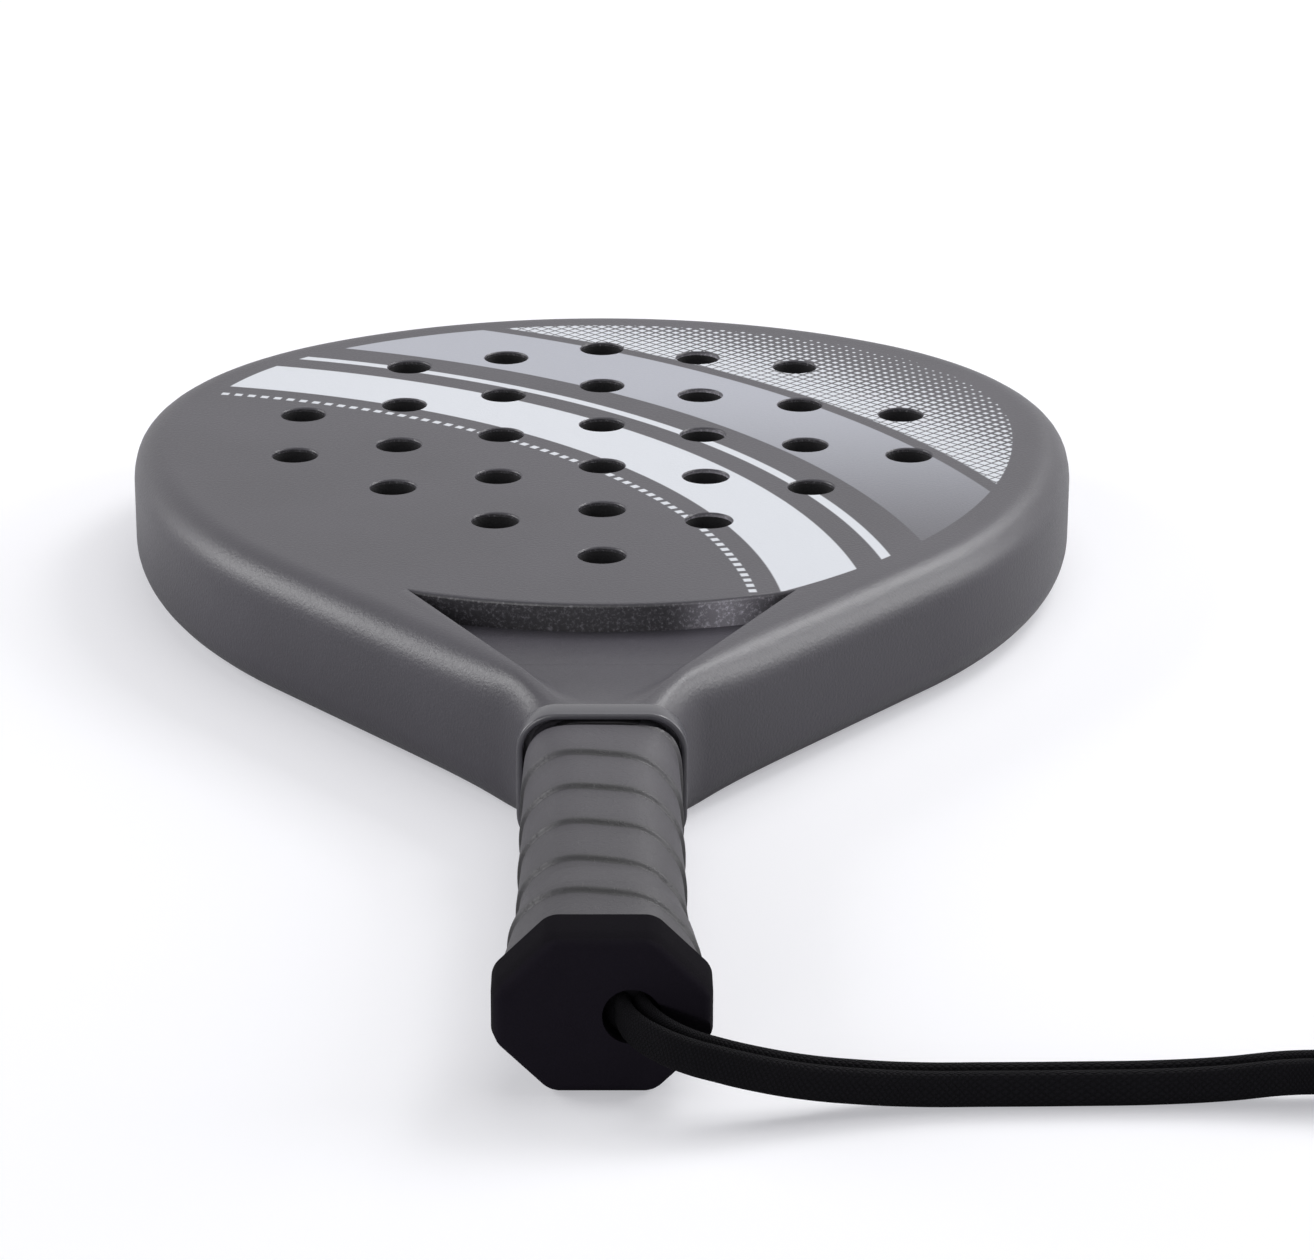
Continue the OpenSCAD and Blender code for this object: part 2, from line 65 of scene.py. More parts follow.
def tone(name, description, *levels):
    """A colour property, given as levels from 0 to 255."""
    return FloatVectorProperty(name=name, description=description, subtype="COLOR_GAMMA", size=3,
                               min=0.0, max=1.0, default=[level / 255 for level in levels])


def length(name, description, millimetres):
    """A length property, given in millimetres and held in metres."""
    return FloatProperty(name=name, description=description, subtype="DISTANCE", unit="LENGTH",
                         min=0.0, precision=4, default=millimetres * MM)


def degrees(name, description, value):
    """An angle property, given in degrees and held in radians."""
    return FloatProperty(name=name, description=description, subtype="ANGLE", unit="ROTATION",
                         default=math.radians(value))


def number(name, description, value):
    """A property that is a plain number."""
    return FloatProperty(name=name, description=description, precision=4, default=value)


class RacketColours(bpy.types.PropertyGroup):
    """Colours of the racket's finishes."""
    lacquer: tone("Lacquer", "Satin lacquer of the frame and the faces", 67, 65, 72)
    lip: tone("Lip", "Rough turned-down edge of the face", 112, 110, 116)
    print_pale: tone("Print, pale", "Lightest ink of the face print", 213, 216, 223)
    print_grey: tone("Print, grey", "Grey ink of the face print", 170, 172, 182)
    foam: tone("Foam", "Core foam seen in the air holes", 26, 25, 28)
    grip: tone("Grip", "Synthetic leather of the grip wrap", 62, 60, 66)
    seam: tone("Seam", "Shaded edge where one turn of the wrap meets the next", 14, 13, 16)
    cap: tone("Cap", "Moulded rubber of the butt cap", 15, 13, 18)
    collar: tone("Collar", "Soft ring over the end of the grip", 84, 83, 89)
    tape: tone("Tape", "Finishing tape below the collar", 20, 19, 22)
    slider: tone("Slider", "Matt plastic of the cord's slider", 34, 33, 37)
    cord: tone("Cord", "Woven wrist cord", 14, 13, 17)


class RacketForm(bpy.types.PropertyGroup):
    """Sizes of the frame, the throat and the handle."""
    tip_radius: length("Tip radius", "Radius of the outline across the tip", 150)
    tip_angle: degrees("Tip angle", "Half angle of the tip's arc", 35)
    tube_width: length("Tube width", "Width of the frame tube", 19)
    tube_edge: length("Tube edge", "Rounding of the tube's outer edges", 10)
    lap: length("Lap", "Width of the tube that a face sheet covers", 8)
    sheet: length("Face sheet", "Thickness of the face sheets", 1.2)
    rim: length("Face rim", "Rounding of the face's outer edge and its air holes", 0.5)
    lip: length("Lip edge", "Rounding of the face's edge over the throat", 1.0)
    arm_reach: length("Arm", "Length of each straight arm, from the head's curve to the neck", 107)
    arm_beside_face: length("Arm beside face", "Length of arm that borders the face", 37)
    throat_radius: length("Throat radius", "Radius of the face's curved edge at the throat", 122)
    neck_fillet: length("Neck fillet", "Radius where the arms run into the neck", 30)
    neck_run: length("Neck run", "Distance from the collar up to where the arms meet", 10)
    neck_width: length("Neck width", "Width of the neck at the collar", 37)
    neck_height: length("Neck height", "Height of the neck at the collar", 31.8)
    neck_taper: length("Neck taper", "Length of the neck's taper down to the collar", 24)
    recess_depth: length("Recess depth", "Depth of the throat below the face", 7.5)
    recess_end: length("Recess end", "Width of the recess at the collar", 15)
    ramp: length("Ramp", "Length of the floor's rise to the collar", 43)
    slope: length("Slope", "Width of the slope from an arm's ridge to the floor", 9)
    collar_wall: length("Collar wall", "Thickness of the collar ring", 1.6)
    collar_corner: length("Collar corner", "Corner radius of the collar ring", 9.5)
    collar_edge: length("Collar edge", "Rounding of the collar ring's rims", 0.65)
    shaft_width: length("Shaft width", "Width of the shaft", 33.6)
    shaft_height: length("Shaft height", "Height of the shaft", 28.4)
    shaft_cut: length("Shaft cut", "Corner cut of the shaft", 7.5)
    grip: length("Grip", "Thickness of the grip wrap", 2.3)
    grip_end: length("Grip end", "Thickness of the grip under the collar ring", 1.2)
    grip_pitch: length("Grip pitch", "Advance of the wrap in one turn", 20.2)
    grip_step: length("Grip step", "Step where one turn laps the next", 0.8)
    grip_start: number("Grip start", "Part of a turn at which the first lap leaves the collar", 0.45)
    grip_flare: length("Grip flare", "Length over which the grip's thickness changes", 6)
    grip_seat: length("Grip seat", "Extra thickness of the grip at the end of the cap's skirt", 0.6)
    grip_fill: length("Grip fill", "Extra fullness of the grip's corners at the collar", 2.5)
    grip_fill_run: length("Grip fill run", "Length over which the corners fill out", 25)
    cap_cut: length("Cap cut", "Corner cut of the butt cap's rim", 12)
    cap_head: length("Cap head", "Length of the butt cap's visible head", 13)
    cap_slope: length("Cap slope", "Length of the butt cap's sloping front edge", 5)
    cap_drop: length("Cap drop", "Drop of the butt cap's sloping front edge", 1)
    cap_edge: length("Cap edge", "Rounding of the butt cap's edges", 2)
    cord_hole: length("Cord hole", "Diameter of the cord hole", 12.4)
    trough_width: length("Trough width", "Width of the trough that leads the cord out", 11)
    trough_depth: length("Trough depth", "Depth of the trough behind the cap's face", 2.8)
    trough_fall: degrees("Trough fall", "Turn of the trough down from upright", 110)
    skirt: length("Cap skirt", "Thickness of the tail of the cap's skirt", 1)


class RacketCord(bpy.types.PropertyGroup):
    """Sizes of the wrist cord."""
    width: length("Width", "Width of the flat cord, which stands on its edge", 8)
    thickness: length("Thickness", "Thickness of the flat cord", 3.2)
    slider_wall: length("Slider wall", "Thickness of the slider's wall", 1.6)
    slider_edge: length("Slider edge", "Rounding of the slider's rims", 0.5)
    weave: length("Weave", "Width of one strand of the weave", 1.4)


class RacketStage(bpy.types.PropertyGroup):
    """Camera and studio."""
    camera_back: length("Camera distance", "How far the camera stands behind the middle", 1061.5)
    camera_height: length("Camera height", "Camera's height over the floor", 420)
    camera_pitch: degrees("Pitch", "How far the camera looks down", 20.3)
    lens: number("Lens", "Focal length in millimetres on a 36 mm sensor", 121.4)
    shift_x: number("Shift X", "Sideways shift of the frame", 0.0419)
    shift_y: number("Shift Y", "Upward shift of the frame", -0.0247)
    floor: tone("Floor", "Studio floor", 210, 210, 212)
    floor_glow: tone("Floor glow", "Light that the floor shows to the camera alone", 163, 163, 167)
    world: number("World", "Strength of the even light from all round", 0.13)
    backdrop: number("Backdrop", "Strength that the camera and reflections see besides", 0.6)


# ---- Shader nodes ----

def linear(colour):
    """Scene-linear RGBA of a colour property."""
    return [c / 12.92 if c <= 0.04045 else ((c + 0.055) / 1.055) ** 2.4 for c in colour] + [1.0]


class Wire:
    """One value in a material; arithmetic on it adds Math nodes."""

    def __init__(self, paint, socket):
        self.paint = paint
        self.socket = socket

    def maths(self, operation, *others):
        return self.paint.node("ShaderNodeMath", {"operation": operation},
                               dict(enumerate((self, *others))))

    def __add__(self, other):
        return self.maths("ADD", other)

    def __sub__(self, other):
        return self.maths("SUBTRACT", other)

    def __mul__(self, other):
        return self.maths("MULTIPLY", other)

    __radd__ = __add__
    __rmul__ = __mul__

    def __rsub__(self, other):
        return self.paint.node("ShaderNodeMath", {"operation": "SUBTRACT"}, {0: other, 1: self})

    def step(self, low, high):
        """0 below low and 1 above high, with a smooth edge between; low may be the larger."""
        return self.paint.node("ShaderNodeMapRange", {"interpolation_type": "SMOOTHSTEP"},
                               {0: self, 1: low, 2: high})

    def band(self, low, high, soft):
        """1 between low and high."""
        return self.step(low - soft, low + soft) * self.step(high + soft, high - soft)


class Nodes:
    """A node tree being filled."""

    def __init__(self, tree):
        self.tree = tree

    def feed(self, socket, value):
        """Links a wire to a socket, or sets the socket's own value."""
        if isinstance(value, Wire):
            self.tree.links.new(value.socket, socket)
        else:
            socket.default_value = value

    def node(self, kind, settings, sockets, output=0):
        """Adds a node, sets it up, feeds its sockets and returns one output."""
        made = self.tree.nodes.new(kind)
        for name, value in settings.items():
            setattr(made, name, value)
        for socket, value in sockets.items():
            self.feed(made.inputs[socket], value)
        return Wire(self, made.outputs[output])

    def mix(self, mask, under, over):
        """Colour under, with colour over where the mask is 1."""
        return self.node("ShaderNodeMix", {"data_type": "RGBA"}, {0: mask, 6: under, 7: over}, 2)


class Paint(Nodes):
    """A material being made, with its Principled shader."""

    def __init__(self, name):
        self.material = bpy.data.materials.new(name)
        self.material.use_nodes = True
        super().__init__(self.material.node_tree)
        self.surface = next(n for n in self.tree.nodes if n.type == "BSDF_PRINCIPLED")

    def set(self, **sockets):
        """Feeds the Principled shader; underscores stand for the spaces in socket names."""
        for name, value in sockets.items():
            self.feed(self.surface.inputs[name.replace("_", " ")], value)

    def place(self):
        """Object coordinates, in millimetres."""
        raw = self.node("ShaderNodeTexCoord", {}, {}, "Object")
        return self.node("ShaderNodeVectorMath", {"operation": "SCALE"}, {0: raw, "Scale": 1 / MM})

    def split(self, vector):
        """The three parts of a vector."""
        first = self.node("ShaderNodeSeparateXYZ", {}, {0: vector})
        return [Wire(self, part) for part in first.socket.node.outputs]

    def noise(self, place, grain, detail=2.0, rough=0.5):
        """Noise whose features are about grain across."""
        return self.node("ShaderNodeTexNoise", {},
                         {"Vector": place, "Scale": 1 / grain, "Detail": detail, "Roughness": rough})

    def bump(self, height, depth, below=None):
        """Bump of a height from 0 to 1 that stands for a depth in millimetres."""
        sockets = {"Height": height, "Distance": depth * MM, "Strength": 1.0}
        if below is not None:
            sockets["Normal"] = below
        return self.node("ShaderNodeBump", {}, sockets)


def shade(colour, factor):
    """A colour property made lighter or darker, as RGBA."""
    return [min(1.0, part * factor) for part in linear(colour)[:3]] + [1.0]


def dress(made, paint):
    """Gives an object its one material."""
    made.data.materials.clear()
    made.data.materials.append(paint.material)


# ---- Finishes ----

def lacquer(paint, place, colour):
    """Satin lacquer: fine grain, faint clouds of tone and a soft sheen."""
    grain = paint.noise(place, 0.8, 3.0, 0.6)
    cloud = paint.noise(place, 45.0, 2.0)
    base = paint.mix(cloud.step(0.3, 0.7), shade(colour, 0.93), shade(colour, 1.07))
    base = paint.mix(grain.step(0.58, 0.75) * 0.4, base, shade(colour, 1.8))
    base = paint.mix(grain.step(0.42, 0.25) * 0.4, base, shade(colour, 0.55))
    paint.set(Roughness=0.28 + 0.2 * grain, Normal=paint.bump(grain, 0.11))
    return base


def rough_lip(paint, place, colours):
    """Rough coat of the face's turned-down edge, with pale specks, and a painted highlight that
    lightens the specks towards the right end.
    """
    x, _, _ = paint.split(place)
    specks = paint.noise(place, 0.9, 4.0, 0.75).step(0.48, 0.7)
    plain = paint.mix(specks, shade(colours.lip, 0.3), shade(colours.lip, 1.3))
    # Painted highlight: much lighter specks, painted over the right end of the lip.
    painted_highlight = paint.mix(specks, shade(colours.lip, 2.2), shade(colours.lip, 5.5))
    return paint.mix(x.band(24.0, 38.0, 9.0), plain, painted_highlight)


def laminate_paint(colours):
    paint = Paint("laminate_lacquer")
    paint.set(Base_Color=lacquer(paint, paint.place(), colours.lacquer))
    return paint


def inside_rim(paint, x, y, plan):
    """Distance in millimetres inward from the head's outline."""
    across = x.maths("ABSOLUTE")

    def within(centre, radius):
        dx = across - centre.x / MM
        dy = y - centre.y / MM
        return radius / MM - (dx * dx + dy * dy).maths("SQRT")

    tip = within(plan.tip, plan.form.tip_radius)
    shoulder = within(plan.shoulder, plan.shoulder_radius)
    side = (across - plan.shoulder.x / MM) * math.cos(plan.form.tip_angle)
    side = side - (y - plan.shoulder.y / MM) * math.sin(plan.form.tip_angle)
    upper = tip + (shoulder - tip) * side.maths("GREATER_THAN", 0.0)
    arm = (plan.arm_start.x / MM - across) * plan.out.x + (plan.arm_start.y / MM - y) * plan.out.y
    lower = within(plan.flank, plan.flank_radius).maths("MINIMUM", arm)
    low = y.maths("LESS_THAN", plan.shoulder.y / MM)
    return upper + (lower - upper) * low


# The face print, in millimetres: how far its parts reach out from one centre, inner and outer.
PRINT_CENTRE = (-150.0, -40.0)
PRINT_ARCS = ((196.0, 218.0), (226.0, 229.0))
PRINT_DASHES = (188.0, 190.0)
PRINT_BAND = (240.0, 272.0)
PRINT_FIELD = (276.5, 345.0)
PRINT_FADE = (-20.0, 160.0)  # along Y, where the band's ink thickens
PRINT_CUTS = (-10.0, 10.0)   # where the slant ends the arcs and the band
PRINT_MARGIN = 16.0          # bare lacquer between the print and the head's outline
PRINT_SOFT = 0.25            # softness of the ink's edges
DASHES = 48.0                # dashes to one radian
DIAMOND = 4.0                # pitch of the diamonds


def face_print(paint, x, y, base, colours):
    """Generic print: arcs and dashes cut by a slant, a shaded band and diamonds that shrink."""
    dx = x - PRINT_CENTRE[0]
    dy = y - PRINT_CENTRE[1]
    reach = (dx * dx + dy * dy).maths("SQRT")
    slant = x * 0.8 + y * 0.6
    past_arcs, past_band = (slant.step(at - PRINT_SOFT, at + PRINT_SOFT) for at in PRINT_CUTS)
    dash = (dy.maths("ARCTAN2", dx) * DASHES).maths("FRACT").band(0.2, 0.75, 0.04)
    pale = reach.band(*PRINT_DASHES, PRINT_SOFT) * dash
    for arc in PRINT_ARCS:
        pale = pale.maths("MAXIMUM", reach.band(*arc, PRINT_SOFT))
    grey = reach.band(*PRINT_BAND, PRINT_SOFT) * past_band * y.step(*PRINT_FADE)
    cell_u, cell_v = ((cell * (1 / DIAMOND)).maths("FRACT") - 0.5 for cell in (x + y, x - y))
    across = cell_u.maths("ABSOLUTE").maths("MAXIMUM", cell_v.maths("ABSOLUTE"))
    start, end = PRINT_FIELD
    diamonds = (0.42 * (1.0 - reach.step(start - 1.5, end)) - across).step(-0.03, 0.03)
    diamonds = diamonds * reach.step(start - 0.5, start + 0.5)
    colour = paint.mix(pale * past_arcs, base, linear(colours.print_pale))
    colour = paint.mix(grey, colour, linear(colours.print_grey))
    return paint.mix(diamonds, colour, linear(colours.print_pale))


def face_paint(colours, plan):
    paint = Paint("face_lacquer")
    place = paint.place()
    x, y, z = paint.split(place)
    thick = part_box("frame_tube")[1].z / MM
    level = (z - thick / 2).maths("ABSOLUTE")
    base = paint.mix(level.step(thick / 2 - 0.9, thick / 2 - 0.3), rough_lip(paint, place, colours),
                     lacquer(paint, place, colours.lacquer))
    printed = face_print(paint, x, y, base, colours)
    inked = (level.step(thick / 2 - 0.15, thick / 2 - 0.05)
             * inside_rim(paint, x, y, plan).step(PRINT_MARGIN - 0.2, PRINT_MARGIN + 0.2))
    paint.set(Base_Color=paint.mix(inked, base, printed))
    return paint


def grained(name, colour, spread, noise, roughness, swing, depth, specular=0.5):
    """Plain finish: one fine grain varies its tone, its gloss and its surface a little."""
    paint = Paint(name)
    grain = paint.noise(paint.place(), *noise)
    paint.base = paint.mix(grain, shade(colour, 1 - spread), shade(colour, 1 + spread))
    paint.set(Base_Color=paint.base, Roughness=roughness + swing * grain if swing else roughness,
              Specular_IOR_Level=specular, Normal=paint.bump(grain, depth))
    return paint


def foam_paint(colours):
    return grained("core_foam", colours.foam, 0.3, (0.6, 4.0, 0.7), 0.85, 0.0, 0.2)


def collar_paint(colours):
    return grained("collar_rubber", colours.collar, 0.05, (0.8, 2.0), 0.16, 0.1, 0.02)


def tape_paint(colours):
    return grained("finishing_tape", colours.tape, 0.15, (0.4, 2.0), 0.4, 0.2, 0.03)


def knot_paint(colours):
    """The cord's weave where it is pulled into the knot."""
    return grained("knot_weave", colours.cord, 0.4, (0.8, 3.0, 0.6), 0.85, 0.0, 0.2, 0.12)


def cap_paint(colours):
    """Black rubber, with painted light: a greyer, blotchy tone painted over its front face."""
    paint = grained("cap_rubber", colours.cap, 0.15, (0.5, 3.0), 0.7, 0.15, 0.06, 0.03)
    place = paint.place()
    _, y, _ = paint.split(place)
    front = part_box("butt_cap")[0].y / MM
    # Painted light: the front face is painted a greyer tone, in blotches, as where light falls on it.
    painted_front_light = y.step(front + 2.5, front + 0.5) * (0.7 + 0.6 * paint.noise(place, 9.0, 3.0))
    paint.set(Base_Color=paint.mix(painted_front_light, paint.base, shade(colours.cap, 2.3)))
    return paint


def grip_paint(colours, plan):
    """Smooth leather with fine creases; painted shade along the edge where each turn laps the next
    and in the creases, a painted highlight on each turn's crown, and darker towards the cap.
    """
    paint = Paint("grip_leather")
    place = paint.place()
    x, y, z = paint.split(place)
    turn = (z - plan.thick / 2 / MM).maths("ARCTAN2", x) * (1 / math.radians(360))
    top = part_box("base_grip")[1].y / MM
    wander = paint.noise(place, 12.0, 2.0) * 0.09 - 0.045
    lapped = (top - y) * (MM / plan.form.grip_pitch) + turn - plan.form.grip_start + wander
    share = lapped.maths("FRACT")
    # Painted shade along the step where each turn laps the next, strongest on the flats.
    seam = share.step(0.86, 0.97).maths("MAXIMUM", share.step(0.05, 0.0))
    flat_part = x.band(-8.0, 8.0, 5.0).maths("MAXIMUM", z.band(12.0, 24.0, 5.0))
    seam = seam * (0.42 + 0.5 * flat_part)
    # Painted highlight: the middle of each turn is painted lighter.
    crown_highlight = share.step(0.0, 0.5) * share.step(1.0, 0.6)
    grain = paint.noise(place, 0.8, 4.0, 0.6)
    crease = paint.noise(place, 3.5, 3.0, 0.55).band(0.48, 0.5, 0.015)
    base = paint.mix(grain, shade(colours.grip, 0.9), shade(colours.grip, 1.1))
    base = paint.mix(crown_highlight * 0.5, base, shade(colours.grip, 1.3))
    # Painted shade: the creases are painted a little darker.
    base = paint.mix(crease * 0.2, base, shade(colours.grip, 0.6))
    # The grip is painted darker towards the cap.
    base = paint.mix(y.step(-105.0, -200.0) * 0.5, base, shade(colours.grip, 0.5))
    base = paint.mix(seam, base, linear(colours.seam))
    height = paint.bump(grain, 0.06, paint.bump(crease, 0.05))
    paint.set(Base_Color=base, Roughness=0.42 + 0.2 * grain, Normal=height)
    return paint


def cord_paint(colours, sizes, run):
    """Woven webbing: two crossing sets of strands that follow the cord's own map."""
    paint = Paint("cord_weave")
    u, v, _ = paint.split(paint.node("ShaderNodeUVMap", {"uv_map": "UVMap"}, {}))
    along = u * round(run / sizes.weave)
    across = v * round(2 * (sizes.width + sizes.thickness) / sizes.weave)
    first = ((along + across) * math.pi).maths("SINE").maths("ABSOLUTE")
    second = ((along - across) * math.pi).maths("SINE").maths("ABSOLUTE")
    strands = first.maths("MINIMUM", second)
    fuzz = paint.noise(paint.place(), 0.4, 3.0, 0.6)
    base = paint.mix(strands, shade(colours.cord, 0.55), shade(colours.cord, 1.3))
    base = paint.mix(fuzz.step(0.55, 0.75) * 0.4, base, shade(colours.cord, 2.2))
    paint.set(Base_Color=base, Roughness=0.85, Specular_IOR_Level=0.12,
              Normal=paint.bump(fuzz, 0.05, paint.bump(strands, 0.25)))
    return paint


def slider_paint(colours):
    """Matt moulded plastic with a faint grain."""
    paint = Paint("slider_plastic")
    place = paint.place()
    grain = paint.noise(place, 0.35, 2.0)
    cloud = paint.noise(place, 5.0, 2.0)
    paint.set(Base_Color=paint.mix(cloud, shade(colours.slider, 0.88), shade(colours.slider, 1.12)),
              Roughness=0.38 + 0.15 * grain, Normal=paint.bump(grain, 0.04))
    return paint


# ---- Making pieces ----

def mesh_of(made):
    """The mesh of an object with its modifiers and bevel applied."""
    bpy.context.view_layer.update()
    return bpy.data.meshes.new_from_object(made.evaluated_get(bpy.context.evaluated_depsgraph_get()))


def linked(name, data):
    """A new object in the scene."""
    made = bpy.data.objects.new(name, data)
    bpy.context.scene.collection.objects.link(made)
    return made


def shown(name, shape, angle=math.radians(35)):
    """A new object from a shape, which is let go; edges sharper than the angle stay sharp."""
    mesh = bpy.data.meshes.new(name)
    shape.to_mesh(mesh)
    shape.free()
    mesh.shade_smooth()
    mesh.set_sharp_from_angle(angle=angle)
    return linked(name, mesh)


def new_piece(name, shape, paint, node, body=BODY, angle=math.radians(35)):
    """Shows a finished shape in place of a CAD node."""
    made = shown(name, shape, angle)
    dress(made, paint)
    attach(made, body)
    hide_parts(node)
    return made


def close(shape):
    """Merges a shape's doubles and turns its faces outward."""
    bmesh.ops.remove_doubles(shape, verts=shape.verts, dist=WELD)
    bmesh.ops.dissolve_degenerate(shape, edges=shape.edges, dist=WELD)
    bmesh.ops.recalc_face_normals(shape, faces=shape.faces)


def shape_of(mesh):
    """A shape holding a mesh, which stays as it is."""
    shape = bmesh.new()
    shape.from_mesh(mesh)
    return shape


def everything(shape):
    """All parts of a shape, as one list."""
    return [*shape.verts, *shape.edges, *shape.faces]


def moved(shape, by, parts=None):
    """Moves a shape, or the points among some of its parts."""
    points = [part for part in parts or shape.verts if isinstance(part, bmesh.types.BMVert)]
    bmesh.ops.translate(shape, vec=by, verts=points)


def scaled(shape, *factors):
    bmesh.ops.scale(shape, vec=factors, verts=shape.verts)


def creases(shape, angle, keep=lambda edge: True):
    """Edges where two faces meet more sharply than an angle, in degrees; keep picks among them."""
    return [edge for edge in shape.edges if len(edge.link_faces) == 2
            and edge.calc_face_angle() > math.radians(angle) and keep(edge)]


def bent_grid(rows, columns, place):
    """A grid whose points are put where place says, from the numbers of the row and the column."""
    shape = bmesh.new()
    bmesh.ops.create_grid(shape, x_segments=rows, y_segments=columns, size=1.0)
    for point in shape.verts:
        point.co = place(round((point.co.x + 1) / 2 * rows), round((point.co.y + 1) / 2 * columns))
    return shape


def bevelled(shape, parts, width, segments, affect="EDGES"):
    """Rounds some of a shape's edges or corners, or cuts them flat with one segment."""
    bmesh.ops.bevel(shape, geom=parts, offset=width, offset_type="OFFSET", affect=affect,
                    segments=segments, profile=0.5, material=-1)


def eight_sided(width, height, low_y, high_y, middle_z, cut):
    """Eight-sided bar along Y, as a box with its long edges cut."""
    shape = bmesh.new()
    bmesh.ops.create_cube(shape, size=1.0)
    scaled(shape, width, high_y - low_y, height)
    moved(shape, (0.0, (low_y + high_y) / 2, middle_z))
    bevelled(shape, [edge for edge in shape.edges
                     if abs(edge.verts[0].co.y - edge.verts[1].co.y) > MM], cut, 1)
    return shape


def smoothstep(share):
    """Eased course from 0 to 1, held at both ends."""
    share = min(1.0, max(0.0, share))
    return share * share * (3 - 2 * share)


# ---- Frame ----

RIDGE_EASE = 0.07   # part of the slope's width over which it leaves the arm's ridge


class Plan:
    """Plan of the right half of the head and its arm, worked out from the sizes."""

    def __init__(self, form):
        low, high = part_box("frame_tube")
        self.form = form
        self.thick = high.z
        self.collar_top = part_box("collar_ring")[1].y
        half = high.x
        lean = math.sin(form.tip_angle)
        self.tip = Vector((0.0, high.y - form.tip_radius))
        self.shoulder_radius = (half - form.tip_radius * lean) / (1 - lean)
        self.shoulder = self.tip + (form.tip_radius - self.shoulder_radius) * Vector(
            (lean, math.cos(form.tip_angle)))
        width = half - form.neck_width / 2
        drop = self.shoulder.y - self.collar_top - form.neck_run
        self.turn = 2 * math.atan(width / (drop + form.arm_reach))
        radius = (width - form.arm_reach * math.sin(self.turn)) / (1 - math.cos(self.turn))
        self.flank_radius = radius
        self.flank = Vector((half - radius, self.shoulder.y))
        self.out = Vector((math.cos(self.turn), -math.sin(self.turn)))
        self.along = Vector((-math.sin(self.turn), -math.cos(self.turn)))
        self.arm_start = self.flank + radius * self.out
        self.arm_length = form.arm_reach - form.neck_fillet * math.tan(self.turn / 2)
        self.fillet = self.arm_start + self.arm_length * self.along + form.neck_fillet * self.out
        self.corner = self.arm_start + form.arm_beside_face * self.along - form.tube_width * self.out
        end = Vector((form.recess_end / 2, self.collar_top))
        ridge = (end - self.corner).normalized()
        self.ridge_out = Vector((-ridge.y, ridge.x))
        throat_half = math.asin(self.corner.x / form.throat_radius)
        self.face_edge = self.corner.y - form.throat_radius * (1 - math.cos(throat_half))
        self.throat_centre = Vector((0.0, self.face_edge + form.throat_radius))
        self.ramp = self.collar_top + form.ramp

    def inside(self, point):
        """Distance of a point inward from the hoop's outer wall, too small near the tip."""
        point = Vector((abs(point.x), point.y))
        if point.y > self.shoulder.y:
            tip = self.form.tip_radius - (point - self.tip).length
            shoulder = self.shoulder_radius - (point - self.shoulder).length
            return tip if point.x < self.shoulder.x else min(tip, shoulder)
        return min(self.flank.x + self.flank_radius - point.x,
                   (self.arm_start - point).dot(self.out))

    def outer_wall(self, share):
        """Point of the arm's outer wall and the way in from it, from the face to the collar."""
        straight = self.arm_length - self.form.arm_beside_face
        bend = self.form.neck_fillet * self.turn
        run = share * (straight + bend + NECK_TAIL)
        if run <= straight:
            return self.arm_start + (self.form.arm_beside_face + run) * self.along, -self.out
        turned = min(1.0, (run - straight) / bend) * self.turn
        inward = Vector((-math.cos(self.turn - turned), math.sin(self.turn - turned)))
        past = max(0.0, run - straight - bend)
        return self.fillet + self.form.neck_fillet * inward - Vector((0.0, past)), inward

    def top(self, y):
        """Height of the arms' ridge."""
        drop = (self.thick - self.form.neck_height) / 2
        start = self.collar_top + self.form.neck_taper
        return self.thick - drop * smoothstep((start - y) / self.form.neck_taper)

    def floor(self, y):
        """Height of the throat's floor, just under the bridge's sheet and then up to the collar."""
        low = self.thick - self.form.recess_depth - 2 * TUCK
        rise = (self.thick + self.form.neck_height) / 2 - low
        share = max(0.0, (self.ramp - y) / self.form.ramp)
        return low + rise * share * share * (2 - share) if share < 1 else low + rise

    def surface(self, y, inside):
        """Height of the throat at a distance inside the arm's ridge."""
        share = inside / self.form.slope
        eased = share * share / (share + RIDGE_EASE)
        return self.floor(y) + (self.top(y) - self.floor(y)) * max(0.0, 1 - eased) ** 2


def soft_least(first, second, power=8):
    """The smaller of two lengths, blended where they are nearly the same."""
    return (first ** -power + second ** -power) ** (-1 / power)


def hoop_shape(plan):
    """Hoop of tube from one arm's end to the other, tucked a hair under the face sheets' edges."""
    form = plan.form
    shape = bmesh.new()
    lap = form.tube_width - form.lap + OVERLAP
    section = [(lap, plan.thick - TUCK), (lap, plan.thick - form.sheet),
               (form.tube_width, plan.thick - form.sheet), (form.tube_width, form.sheet),
               (lap, form.sheet), (lap, TUCK), (0.0, 0.0), (0.0, plan.thick)]
    points = [shape.verts.new((0.0, plan.tip.y + form.tip_radius - inward, z))
              for inward, z in section]
    shape.faces.new(points)
    bevelled(shape, points[-2:], form.tube_edge, 10, "VERTICES")
    bmesh.ops.delete(shape, geom=shape.faces[:], context="FACES_ONLY")
    front = everything(shape)
    for centre, angle, steps in ((plan.tip, form.tip_angle, 24),
                                 (plan.shoulder, math.radians(90) - form.tip_angle, 40),
                                 (plan.flank, plan.turn, 30)):
        front = bmesh.ops.spin(shape, geom=front, cent=(*centre, 0.0), axis=(0.0, 0.0, -1.0),
                               angle=angle, steps=steps)["geom_last"]
    edges = [part for part in front if isinstance(part, bmesh.types.BMEdge)]
    arm = bmesh.ops.extrude_edge_only(shape, edges=edges)["geom"]
    moved(shape, (*(form.arm_beside_face * plan.along), 0.0), arm)
    bmesh.ops.mirror(shape, geom=everything(shape), axis="X", merge_dist=WELD)
    bmesh.ops.holes_fill(shape, edges=[edge for edge in shape.edges if edge.is_boundary], sides=0)
    close(shape)
    return shape


